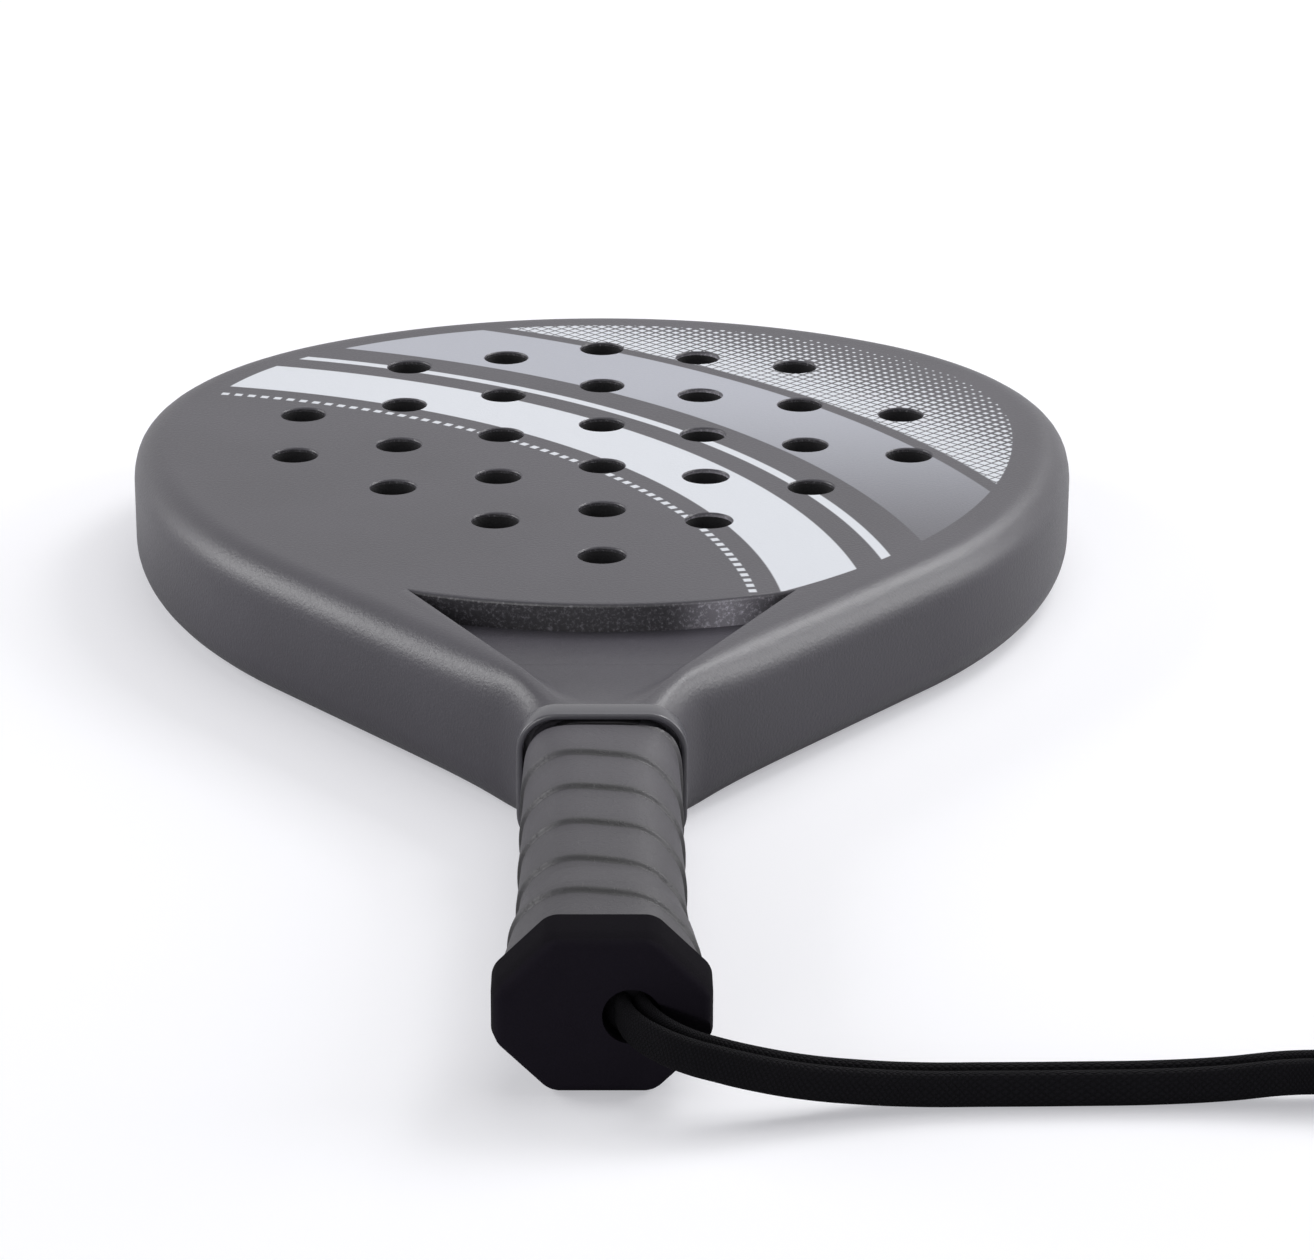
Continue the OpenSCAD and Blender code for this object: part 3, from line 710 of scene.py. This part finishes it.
def throat_shape(plan):
    """Arms below the face, the slopes inside them and the floor, down into the collar."""
    form = plan.form
    rows, wall, edge, crest, slope = 77, 1, 10, 3, 30
    side = wall + edge + crest + slope

    def place(row, column):
        share = min(1.0, max(0.0, (row - 2) / (rows - 3)))
        count = abs(column - side)
        start, inward = plan.outer_wall(share)
        width = -(start - plan.corner).dot(plan.ridge_out) / inward.dot(plan.ridge_out)
        edge_width = soft_least(form.tube_edge, width - MM)
        if count <= wall + edge:
            turned = math.radians(90) * max(0, count - wall) / edge
            point = start + inward * edge_width * (1 - math.cos(turned))
            ridge_y = (start + inward * width).y
            z = plan.top(ridge_y) - form.tube_edge * (1 - math.sin(turned))
            if count == 0:
                z = plan.thick / 2
        elif count <= wall + edge + crest:
            across = (count - wall - edge) / crest
            point = start + inward * (edge_width + (width - edge_width) * across)
            z = plan.top((start + inward * width).y)
        else:
            ridge = start + inward * width
            end_y = plan.collar_top - NECK_TAIL
            middle = Vector((0.0, plan.face_edge + (ridge.y - plan.corner.y)
                             * (end_y - plan.face_edge) / (end_y - plan.corner.y)))
            point = ridge.lerp(middle, ((count - wall - edge - crest) / slope) ** 1.4)
            inside = max(0.0, (plan.corner - point).dot(plan.ridge_out))
            z = plan.surface(point.y, inside)
        if row < 2:
            point = point - OVERLAP * plan.along + TUCK * inward
            z -= TUCK
        if count == side:
            point.x = 0.0
        if row in (0, rows):
            z = plan.thick / 2
        if column < side:
            z = plan.thick - z
        return Vector((*point, z))

    shape = bent_grid(rows, 2 * side, place)
    bmesh.ops.mirror(shape, geom=everything(shape), axis="X", merge_dist=WELD)
    close(shape)
    return shape


def shaft_shape(plan):
    """Eight-sided shaft inside the grip."""
    form = plan.form
    shape = eight_sided(form.shaft_width, form.shaft_height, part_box("handle_foam")[0].y,
                        plan.collar_top, plan.thick / 2, form.shaft_cut)
    close(shape)
    return shape


def face_shape(plan, node, level):
    """A face sheet with its outer edge, its air holes and its edge over the throat rounded."""
    form = plan.form
    sharp = 8 * MM  # edges less deep than this, a short stretch at the tip, stay sharp

    def on_level(edge):
        return all(abs(point.co.z - level) < NEAR for point in edge.verts)

    def on_lip(edge):
        return on_level(edge) and all(
            abs((point.co.xy - plan.throat_centre).length - form.throat_radius) < NEAR
            and point.co.y < plan.corner.y + MM for point in edge.verts)

    def on_rim(edge):
        return on_level(edge) and not on_lip(edge) and plan.inside(edge.verts[0].co.xy) > sharp

    shape = shape_of(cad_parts[node].data)
    bmesh.ops.remove_doubles(shape, verts=shape.verts, dist=WELD / 2)
    bmesh.ops.dissolve_limit(shape, angle_limit=math.radians(1), verts=shape.verts,
                             edges=shape.edges, delimit=set())
    for keep, width, segments in ((on_rim, form.rim, 2), (on_lip, form.lip, 3)):
        bevelled(shape, creases(shape, 60, keep), width, segments)
        close(shape)
    return shape


def joined(*shapes):
    """One shape holding several closed shells."""
    whole = bmesh.new()
    for shape in shapes:
        mesh = bpy.data.meshes.new("shell")
        shape.to_mesh(mesh)
        shape.free()
        whole.from_mesh(mesh)
        bpy.data.meshes.remove(mesh)
    return whole


# ---- Handle ----

def ring_shape(node, corner, wall, edge, turn):
    """Ring in a node's box with rounded corners and rims; turn takes Z to the ring's axis."""
    low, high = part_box(node)
    width, height, run = (abs(part) for part in turn.inverted() @ (high - low))
    shape = bmesh.new()
    bmesh.ops.create_grid(shape, x_segments=1, y_segments=1, size=0.5)
    scaled(shape, width, height, 1.0)
    bevelled(shape, shape.verts[:], corner, 12, "VERTICES")
    bmesh.ops.inset_region(shape, faces=shape.faces[:], thickness=wall, use_boundary=True,
                           use_even_offset=True)
    middle = max(shape.faces, key=lambda face: len(face.verts))
    bmesh.ops.delete(shape, geom=[middle], context="FACES")
    ring = bmesh.ops.extrude_face_region(shape, geom=shape.faces[:])["geom"]
    moved(shape, (0.0, 0.0, run), ring)
    bmesh.ops.recalc_face_normals(shape, faces=shape.faces)
    bevelled(shape, creases(shape, 60), edge, 4)
    moved(shape, (0.0, 0.0, -run / 2))
    bmesh.ops.rotate(shape, matrix=turn, verts=shape.verts)
    moved(shape, (low + high) / 2)
    close(shape)
    return shape


def diagonal(width, height, cut):
    """Distance from the axis of an eight-sided section to its corner flats."""
    return (width / 2 + height / 2 - cut) / math.sqrt(2)


def soft_octagon(turn, side, top, corner):
    """Distance from the axis to an eight-sided outline with soft corners."""
    power = 10
    return sum((abs(math.cos(turn - flat_turn)) / reach) ** power for flat_turn, reach in (
        (0.0, side), (math.radians(90), top), (math.radians(45), corner),
        (math.radians(-45), corner))) ** (-1 / power)


def grip_shape(plan):
    """Spiral wrap, with a rolled step where each turn laps the next."""
    form = plan.form
    cap_low, cap_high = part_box("butt_cap")
    rim = cap_low.y + form.cap_head
    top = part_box("base_grip")[1].y
    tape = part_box("finishing_tape")[0].y
    stations = ((rim, None), (cap_high.y, form.grip + form.skirt + form.grip_seat),
                (cap_high.y + 2 * form.grip_flare, form.grip),
                (tape - form.grip_flare / 5, form.grip), (tape, form.grip_end), (top, form.grip_end))
    flats = ((form.shaft_width / 2, cap_high.x), (form.shaft_height / 2, plan.thick / 2),
             (diagonal(form.shaft_width, form.shaft_height, form.shaft_cut),
              diagonal(2 * cap_high.x, plan.thick, form.cap_cut)))
    rows, columns = 264, 96
    rise = 0.06  # part of a turn over which the surface climbs on to the next lap

    def reach(y, shaft, rim_reach):
        for (y0, thick0), (y1, thick1) in zip(stations, stations[1:]):
            if y <= y1:
                thick0 = rim_reach - shaft - NEAR if thick0 is None else thick0
                return shaft + thick0 + (thick1 - thick0) * (y - y0) / (y1 - y0)
        return shaft + stations[-1][1]

    def place(row, column):
        y = rim + (top - rim) * min(1.0, max(0.0, (row - 1) / (rows - 2)))
        turn = math.radians(360) * column / columns
        if row in (0, rows):
            radius = soft_octagon(turn, *(shaft for shaft, _ in flats))
        else:
            lapped = (top - y) / form.grip_pitch + turn / math.radians(360) - form.grip_start
            share = lapped - math.floor(lapped)
            fall = 1 - share + smoothstep((share - 1) / rise + 1)
            side, high, corner = (reach(y, shaft, far) for shaft, far in flats)
            corner += form.grip_fill * smoothstep((y - tape) / form.grip_fill_run + 1)
            radius = soft_octagon(turn, side, high, corner) - form.grip_step * fall
        return Vector((radius * math.cos(turn), y, plan.thick / 2 + radius * math.sin(turn)))

    shape = bent_grid(rows, columns, place)
    bmesh.ops.remove_doubles(shape, verts=shape.verts, dist=WELD)
    bmesh.ops.bridge_loops(shape, edges=[edge for edge in shape.edges if edge.is_boundary])
    close(shape)
    return shape


def bore(name, diameter, run, place, tilt):
    """Round cutter, run along Z and then tilted about X or Y."""
    shape = bmesh.new()
    bmesh.ops.create_cone(shape, cap_ends=True, segments=64, radius1=diameter / 2,
                          radius2=diameter / 2, depth=run)
    bmesh.ops.rotate(shape, matrix=Euler(tilt).to_matrix(), verts=shape.verts)
    moved(shape, place)
    return shown(name, shape)


def cap_shape(plan):
    """Eight-sided cap with rounded edges, its cord hole and the trough beside it."""
    form = plan.form
    low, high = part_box("butt_cap")
    slope = form.cap_slope
    rim_y = low.y + form.cap_head
    shape = eight_sided(high.x - low.x, high.z - low.z, low.y + slope, rim_y, plan.thick / 2,
                        form.cap_cut)
    front = min(shape.faces, key=lambda face: face.calc_center_median().y)
    nose = bmesh.ops.extrude_face_region(shape, geom=[front])["geom"]
    nose = [part for part in nose if isinstance(part, bmesh.types.BMVert)]
    bmesh.ops.delete(shape, geom=[front], context="FACES_ONLY")
    bmesh.ops.scale(shape, vec=(1 - 2 * form.cap_drop / (high.x - low.x), 1.0,
                                1 - 2 * form.cap_drop / (high.z - low.z)),
                    space=Matrix.Translation((0.0, 0.0, -plan.thick / 2)), verts=nose)
    moved(shape, (0.0, -slope, 0.0), nose)

    def before_rim(edge):
        return min(point.co.y for point in edge.verts) < rim_y - NEAR

    bevelled(shape, creases(shape, 20, before_rim), form.cap_edge, 5)
    close(shape)
    made = shown("cap_block", shape)
    hole_run, trough_run = 20 * MM, 60 * MM
    hole = (CORD_HOLE_X * MM, rim_y - hole_run / 2, plan.thick / 2 + CORD_HOLE_RISE * MM)
    fall = form.trough_fall
    trough = (hole[0] + trough_run / 2 * math.sin(fall),
              low.y + form.trough_depth - form.trough_width / 2,
              hole[2] + trough_run / 2 * math.cos(fall))
    cutters = [bore("hole_cutter", form.cord_hole, hole_run, hole, (math.radians(90), 0.0, 0.0)),
               bore("trough_cutter", form.trough_width, trough_run, trough, (0.0, fall, 0.0))]
    for cutter in cutters:
        cut = made.modifiers.new(cutter.name, "BOOLEAN")
        cut.object = cutter
        cut.operation = "DIFFERENCE"
        cut.solver = "EXACT"
    shape = shape_of(mesh_of(made))
    close(shape)
    for part in (made, *cutters):
        bpy.data.objects.remove(part)
    return shape


def even(made):
    """Shades a piece's flats flat, with all of the turn in its rounded edges."""
    modifier = made.modifiers.new("even_shade", "WEIGHTED_NORMAL")
    modifier.keep_sharp = True
    modifier.weight = 100


# ---- Wrist cord ----

# Points of the cord, in millimetres: across from the hole, out from the butt, and a height in
# percent, from lying on the floor to the height of the hole. The solids' cord has the same points.
STRAND_GAP = 4.0
CORD_OUT = [(-2, 10, 100), (-2, 5.5, 100), (-1.4, 0.5, 99), (1, -4.9, 95), (5.4, -9.1, 88),
            (11.2, -11.3, 77), (17.8, -11.9, 65), (25.8, -11.4, 49), (35.8, -9.9, 31),
            (48, -7.7, 15), (60, -5.9, 5), (74, -4.7, 1), (92, -4.1, 0), (110, -3.7, 1),
            (124, -3.5, 6), (136, -3.5, 15), (144, -3.5, 17), (158, -3.5, 17), (172, -3.5, 17),
            (186, -3.5, 16)]
# The wrist loop is even about its middle line; the strand back lies beside the other one, until
# both bend into the hole.
CORD_LOOP = [(198, -5, 12), (208, -9.6, 6), (218, -16, 2), (229, -21.8, 0), (241, -24.5, 0),
             (253, -22, 0), (261.4, -13.4, 0)]
CORD_TURN = (264.4, CORD_OUT[-1][1] + STRAND_GAP / 2, 0)
CORD_LOOP_BACK = [(x, round(2 * CORD_TURN[1] - y, 1), rise) for x, y, rise in reversed(CORD_LOOP)]
CORD_BACK = [(x, round(y + STRAND_GAP, 1), rise) for x, y, rise in reversed(CORD_OUT[6:])]
CORD_IN = [(11.8, -7.3, 77), (7.2, -5.3, 88), (4.2, -2.1, 95), (2.5, 1.5, 99), (2, 5.5, 100),
           (2, 10, 100)]
CORD = [*CORD_OUT, *CORD_LOOP, CORD_TURN, *CORD_LOOP_BACK, *CORD_BACK, *CORD_IN]
CORD_HOLE_X = 6.2
CORD_HOLE_RISE = 0.5
CORD_LIFT = 0.1


def cord_route(width):
    """The cord's points, in metres."""
    cap_low, cap_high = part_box("butt_cap")
    hole_z = (cap_low.z + cap_high.z) / 2 + CORD_HOLE_RISE * MM
    low_z = width / 2 + CORD_LIFT * MM
    return [Vector(((CORD_HOLE_X + x) * MM, cap_low.y + y * MM,
                    low_z + (hole_z - low_z) * rise / 100)) for x, y, rise in CORD]


def new_curve(name, points, cyclic):
    """A curve object through the points, smoothed."""
    curve = bpy.data.curves.new(name, "CURVE")
    curve.dimensions = "3D"
    curve.twist_mode = "Z_UP"
    spline = curve.splines.new("BEZIER")
    spline.bezier_points.add(len(points) - 1)
    for knot, point in zip(spline.bezier_points, points):
        knot.co = point
        knot.handle_left_type = knot.handle_right_type = "AUTO"
    spline.use_cyclic_u = cyclic
    return linked(name, curve)


def flat_oval(width, thickness):
    """Section of the flat cord, with round edges, as a closed curve."""
    x = thickness / 2
    y = width / 2
    return new_curve("cord_section", [Vector((x * a, y * b, 0)) for a, b in (
        (1, 0), (1, 0.55), (0.55, 0.93), (0, 1), (-0.55, 0.93), (-1, 0.55), (-1, 0), (-1, -0.55),
        (-0.55, -0.93), (0, -1), (0.55, -0.93), (1, -0.55))], True)


# ---- Operators ----

class RACKET_OT_laminate(bpy.types.Operator):
    """Lacquers the frame tube and the throat bridge"""
    bl_idname = "racket.laminate"
    bl_label = "Frame and throat"

    def execute(self, context):
        colours = context.scene.racket_colours
        plan = Plan(context.scene.racket_form)
        shape = joined(hoop_shape(plan), throat_shape(plan), shaft_shape(plan))
        paint = laminate_paint(colours)
        new_piece("frame", shape, paint, "frame_tube")
        for node in ("bridge_skin_top", "bridge_skin_bottom"):
            dress(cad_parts[node], paint)
        return {"FINISHED"}


class RACKET_OT_faces(bpy.types.Operator):
    """Lacquers and prints the two faces"""
    bl_idname = "racket.faces"
    bl_label = "Faces"

    def execute(self, context):
        plan = Plan(context.scene.racket_form)
        paint = face_paint(context.scene.racket_colours, plan)
        for side, level in (("top", plan.thick), ("bottom", 0.0)):
            node = "face_skin_" + side
            even(new_piece("face_" + side, face_shape(plan, node, level), paint, node))
        return {"FINISHED"}


class RACKET_OT_foam(bpy.types.Operator):
    """Colours the foam of the core, the bridge and the handle"""
    bl_idname = "racket.foam"
    bl_label = "Foam"

    def execute(self, context):
        paint = foam_paint(context.scene.racket_colours)
        for node in ("eva_core", "bridge_core", "handle_foam"):
            dress(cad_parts[node], paint)
        return {"FINISHED"}


class RACKET_OT_handle(bpy.types.Operator):
    """Finishes the grip, the collar, the tape and the butt cap"""
    bl_idname = "racket.handle"
    bl_label = "Handle"

    def execute(self, context):
        colours = context.scene.racket_colours
        plan = Plan(context.scene.racket_form)
        new_piece("grip", grip_shape(plan), grip_paint(colours, plan), "base_grip")
        form = plan.form
        ring = ring_shape("collar_ring", form.collar_corner, form.collar_wall, form.collar_edge,
                          Matrix.Rotation(math.radians(-90), 3, "X"))
        new_piece("collar", ring, collar_paint(colours), "collar_ring")
        dress(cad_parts["finishing_tape"], tape_paint(colours))
        even(new_piece("cap", cap_shape(plan), cap_paint(colours), "butt_cap",
                       angle=math.radians(30)))
        return {"FINISHED"}


class RACKET_OT_cord(bpy.types.Operator):
    """Lays the flat wrist cord with its knot and slider"""
    bl_idname = "racket.cord"
    bl_label = "Wrist cord"

    def execute(self, context):
        scene = context.scene
        sizes = scene.racket_cord
        route = new_curve("cord_line", cord_route(sizes.width), False)
        line = [vertex.co.copy() for vertex in mesh_of(route).vertices]
        section = flat_oval(sizes.width, sizes.thickness)
        route.data.bevel_mode = "OBJECT"
        route.data.bevel_object = section
        route.data.use_fill_caps = True
        shape = shape_of(mesh_of(route))
        close(shape)
        for made in (route, section):
            bpy.data.objects.remove(made)
        run = sum((b - a).length for a, b in zip(line, line[1:]))
        colours = scene.racket_colours
        strap = new_piece("wrist_strap", shape, cord_paint(colours, sizes, run), "wrist_cord")
        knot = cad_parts["cord_knot"]
        dress(knot, knot_paint(colours))
        ring = ring_shape("cord_slider", sizes.thickness, sizes.slider_wall, sizes.slider_edge,
                          Matrix(((0, 0, 1), (1, 0, 0), (0, 1, 0))))
        slider = new_piece("slider", ring, slider_paint(colours), "cord_slider", "slider")
        even(slider)
        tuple(line[0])
        return {"FINISHED"}


# Half the floor's width, and each lamp's name, place, the Y at which it aims at the floor, size and
# power, in metres and watts.
FLOOR_REACH = 6.0
SOFTBOXES = (
    ("top_softbox", (0.4, 0.6, 2.1), 0.05, 2.2, 19.0),
    ("left_softbox", (-1.5, 0.45, 0.75), 0.05, 0.9, 14.0),
    ("right_softbox", (1.5, 0.35, 0.75), 0.05, 0.9, 13.0),
    ("edge_softbox", (0.95, 1.0, 1.3), -0.05, 0.7, 12.0),
    ("front_softbox", (-0.7, -1.7, 0.45), -0.1, 0.9, 11.0),
)


class RACKET_OT_stage(bpy.types.Operator):
    """Makes the camera, the floor and the soft studio light"""
    bl_idname = "racket.stage"
    bl_label = "Studio"

    def execute(self, context):
        scene = context.scene
        stage = scene.racket_stage
        self.add_camera(scene, stage)
        self.add_floor(stage)
        self.add_lights(scene, stage)
        scene.view_settings.view_transform = "Standard"
        return {"FINISHED"}

    def add_camera(self, scene, stage):
        camera = bpy.data.cameras.new("camera")
        camera.sensor_width = 36.0
        camera.lens = stage.lens
        camera.shift_x = stage.shift_x
        camera.shift_y = stage.shift_y
        camera.clip_start = 0.05
        camera.clip_end = 50.0
        scene.camera = linked("camera", camera)
        scene.camera.location = (0.0, -stage.camera_back, stage.camera_height)
        scene.camera.rotation_euler = (math.radians(90) - stage.camera_pitch, 0.0, 0.0)

    def add_floor(self, stage):
        paint = Paint("floor")
        seen = paint.node("ShaderNodeLightPath", {}, {}, "Is Camera Ray")
        paint.set(Base_Color=linear(stage.floor), Roughness=0.9, Specular_IOR_Level=0.0,
                  Emission_Color=paint.mix(seen, (0.0, 0.0, 0.0, 1.0), linear(stage.floor_glow)),
                  Emission_Strength=1.0)
        shape = bmesh.new()
        bmesh.ops.create_grid(shape, x_segments=1, y_segments=1, size=FLOOR_REACH)
        floor = shown("floor", shape)
        dress(floor, paint)

    def add_lights(self, scene, stage):
        world = bpy.data.worlds.new("studio")
        world.use_nodes = True
        sky = Nodes(world.node_tree)
        background = next(n for n in sky.tree.nodes if n.type == "BACKGROUND")
        seen = sky.node("ShaderNodeLightPath", {}, {}, "Is Camera Ray")
        mirrored = sky.node("ShaderNodeLightPath", {}, {}, "Is Glossy Ray")
        sky.feed(background.inputs["Color"], (1.0, 1.0, 1.0, 1.0))
        strength = stage.world + stage.backdrop * seen.maths("MAXIMUM", mirrored)
        sky.feed(background.inputs["Strength"], strength)
        scene.world = world
        for name, place, target_y, size, power in SOFTBOXES:
            lamp = bpy.data.lights.new(name, "AREA")
            lamp.shape = "SQUARE"
            lamp.size = size
            lamp.energy = power
            made = linked(name, lamp)
            made.location = place
            made.rotation_mode = "QUATERNION"
            aim = Vector((0.0, target_y, 0.0)) - Vector(place)
            made.rotation_quaternion = aim.to_track_quat("-Z", "Y")


class RACKET_PT_panel(bpy.types.Panel):
    """Lists the racket's steps, sizes and colours"""
    bl_idname = "RACKET_PT_panel"
    bl_label = "Padel racket"
    bl_space_type = "VIEW_3D"
    bl_region_type = "UI"
    bl_category = "Racket"

    def draw(self, context):
        scene = context.scene
        for operator in STEPS:
            self.layout.operator(operator.bl_idname)
        for group in (getattr(scene, name) for name in GROUPS):
            box = self.layout.box()
            for name in group.__annotations__:
                box.prop(group, name)


GROUPS = {"racket_colours": RacketColours, "racket_form": RacketForm, "racket_cord": RacketCord,
          "racket_stage": RacketStage}
STEPS = (RACKET_OT_stage, RACKET_OT_cord, RACKET_OT_laminate, RACKET_OT_faces, RACKET_OT_foam,
         RACKET_OT_handle)


def register():
    for kind in (*GROUPS.values(), *STEPS, RACKET_PT_panel):
        bpy.utils.register_class(kind)
    for name, kind in GROUPS.items():
        setattr(bpy.types.Scene, name, PointerProperty(type=kind))


def unregister():
    for name in GROUPS:
        delattr(bpy.types.Scene, name)
    for kind in reversed((*GROUPS.values(), *STEPS, RACKET_PT_panel)):
        bpy.utils.unregister_class(kind)


def main():
    register()
    for operator in STEPS:
        area, name = operator.bl_idname.split(".")
        getattr(getattr(bpy.ops, area), name)()


if __name__ == "__main__":
    main()
